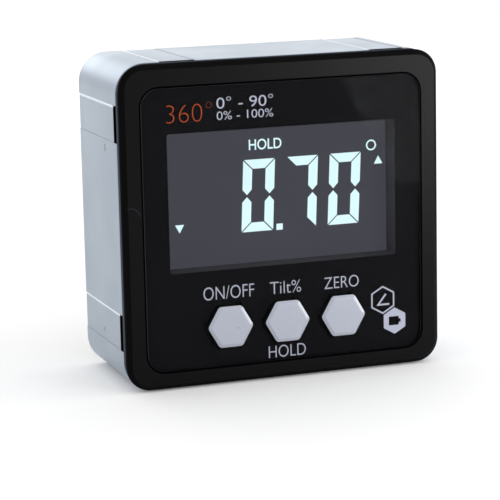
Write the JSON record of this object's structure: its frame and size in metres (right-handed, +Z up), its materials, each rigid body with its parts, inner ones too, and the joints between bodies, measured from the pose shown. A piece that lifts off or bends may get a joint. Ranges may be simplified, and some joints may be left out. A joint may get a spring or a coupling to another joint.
{
  "type": "digital angle gauge",
  "caption": "Square digital angle gauge with an aluminium body, magnet strips on its measuring sides, a lit display behind a glossy black panel and a row of hexagonal keys.",
  "frame": {"origin": "middle of the base, at the middle of the depth from the key fronts to the rear end of the body", "axes": "+X to the right as seen from the front, +Y to the back, +Z up"},
  "size_m": [0.056, 0.025, 0.054],
  "materials": {
    "satin_aluminium": "satin anodised, fine blasted grain",
    "plated_magnet": "satin nickel plating",
    "black_moulding": "fine-grained moulded plastic",
    "seal_rubber": "matt rubber",
    "clear_panel": "polished clear acrylic with a black back",
    "black_film": "black adhesive film",
    "black_foam": "closed-cell foam",
    "display_grey": "display glass with a grey filter",
    "white_moulding": "white moulded plastic",
    "guide_acrylic": "milky acrylic",
    "lamp_resin": "lamp resin",
    "board_green": "green lacquered board",
    "screw_steel": "plated steel",
    "chip_black": "black component resin",
    "key_silver": "silver-coated plastic",
    "battery_foil": "laminated foil",
    "lead_red": "insulated wire"
  },
  "bodies": {
    "housing": {"aluminium_body": "satin_aluminium", "magnet_left_upper": "plated_magnet", "magnet_left_lower": "plated_magnet", "magnet_right_upper": "plated_magnet", "magnet_right_lower": "plated_magnet", "magnet_top_left": "plated_magnet", "magnet_top_right": "plated_magnet", "magnet_base_left": "plated_magnet", "magnet_base_right": "plated_magnet", "front_bezel": "black_moulding", "front_seal": "seal_rubber", "front_panel": "clear_panel", "panel_tape": "black_film", "display_foam": "black_foam", "display_glass": "display_grey", "display_holder": "white_moulding", "light_guide": "guide_acrylic", "backlight_lamps": "lamp_resin", "contact_strip": "seal_rubber", "main_board": "board_green", "board_screws": "screw_steel", "processor": "chip_black", "tilt_sensor": "chip_black", "clock_crystal": "screw_steel", "power_switch": "chip_black", "hold_switch": "chip_black", "zero_switch": "chip_black", "board_connector": "black_moulding", "charging_board": "board_green", "charging_socket": "screw_steel", "charging_screws": "screw_steel", "battery_cell": "battery_foil", "battery_pad": "black_foam", "battery_leads": "lead_red", "rear_cover": "black_moulding", "rear_seal": "seal_rubber", "cover_screws": "screw_steel"},
    "power_button": {"power_key": "key_silver", "power_plunger": "black_moulding"},
    "hold_button": {"hold_key": "key_silver", "hold_plunger": "black_moulding"},
    "zero_button": {"zero_key": "key_silver", "zero_plunger": "black_moulding"}
  },
  "joints": [
    {"name": "power_press", "type": "slide", "parent": "housing", "child": "power_button", "axis": [0, 1, 0], "range_m": [0, 0.0004], "stiffness_N_per_m": 1500},
    {"name": "hold_press", "type": "slide", "parent": "housing", "child": "hold_button", "axis": [0, 1, 0], "range_m": [0, 0.0004], "stiffness_N_per_m": 1500},
    {"name": "zero_press", "type": "slide", "parent": "housing", "child": "zero_button", "axis": [0, 1, 0], "range_m": [0, 0.0004], "stiffness_N_per_m": 1500}
  ]
}
